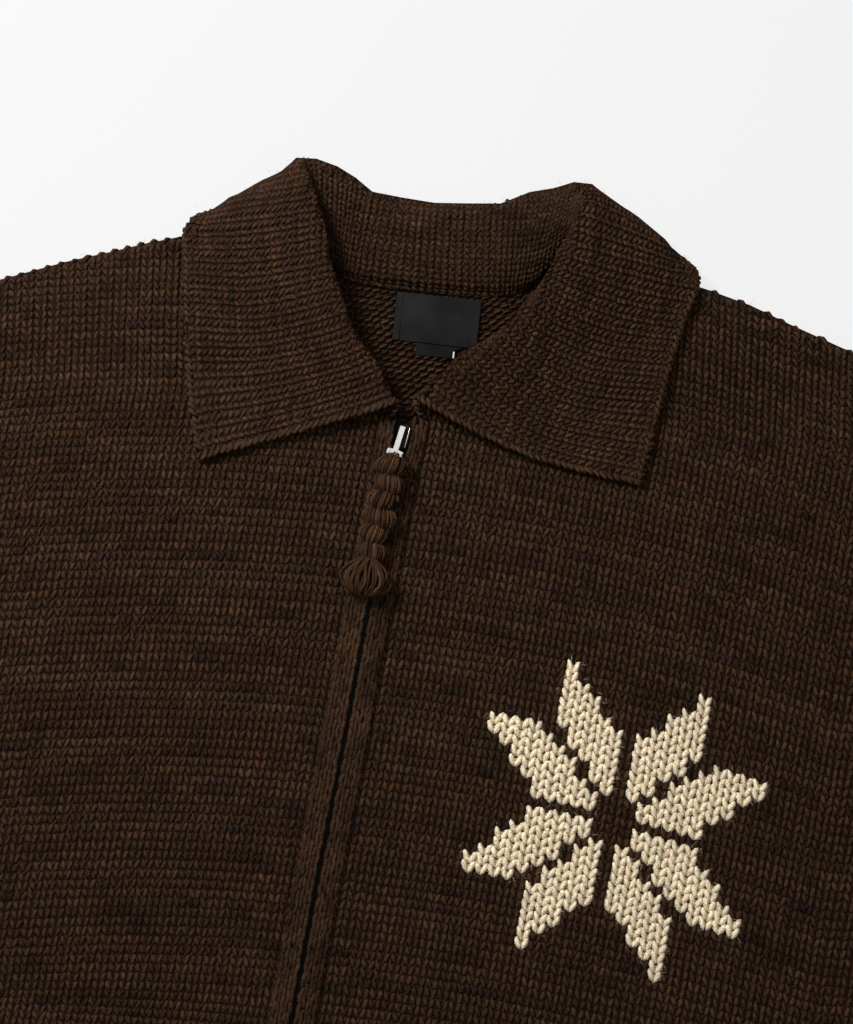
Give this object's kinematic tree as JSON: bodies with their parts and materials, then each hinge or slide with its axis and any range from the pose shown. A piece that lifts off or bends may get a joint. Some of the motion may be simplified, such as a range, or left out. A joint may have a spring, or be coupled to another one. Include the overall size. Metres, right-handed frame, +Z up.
{
  "type": "knit zip jacket",
  "caption": "Chunky stockinette-knit zip jacket with a fold-over shirt collar and a braided wool zip pull, laid flat on its back.",
  "frame": {"origin": "underside of the back panel, in the middle of the body, on the surface the jacket lies on", "axes": "+Z up from the surface, +Y towards the collar, +X towards the wearer's left sleeve"},
  "size_m": [1.5963, 0.7246, 0.0441],
  "materials": {
    "wool": "matte brown melange wool, chunky knit",
    "label": "black woven satin",
    "tape": "woven black zip tape",
    "metal": "polished silver",
    "teeth": "dark moulded plastic teeth"
  },
  "bodies": {
    "jacket": {"back_panel": "wool", "collar": "wool", "cuff_left": "wool", "cuff_right": "wool", "front_left": "wool", "front_right": "wool", "hem_rib_back": "wool", "hem_rib_left": "wool", "hem_rib_right": "wool", "main_label": "label", "size_tab": "label", "sleeve_left": "wool", "sleeve_right": "wool", "zip_slider": "metal", "zip_tape_left": "tape", "zip_tape_right": "tape", "zip_teeth": "teeth"},
    "pull": {"pull_tab": "metal", "pull_braid": "wool", "pull_ball": "wool"}
  },
  "joints": [
    {"name": "pull_swing", "type": "hinge", "parent": "jacket", "child": "pull", "pos_m": [-0.0016, 0.201, 0.0166], "axis": [-0.9877, 0.1564, 0], "range_deg": [0, 85]}
  ]
}
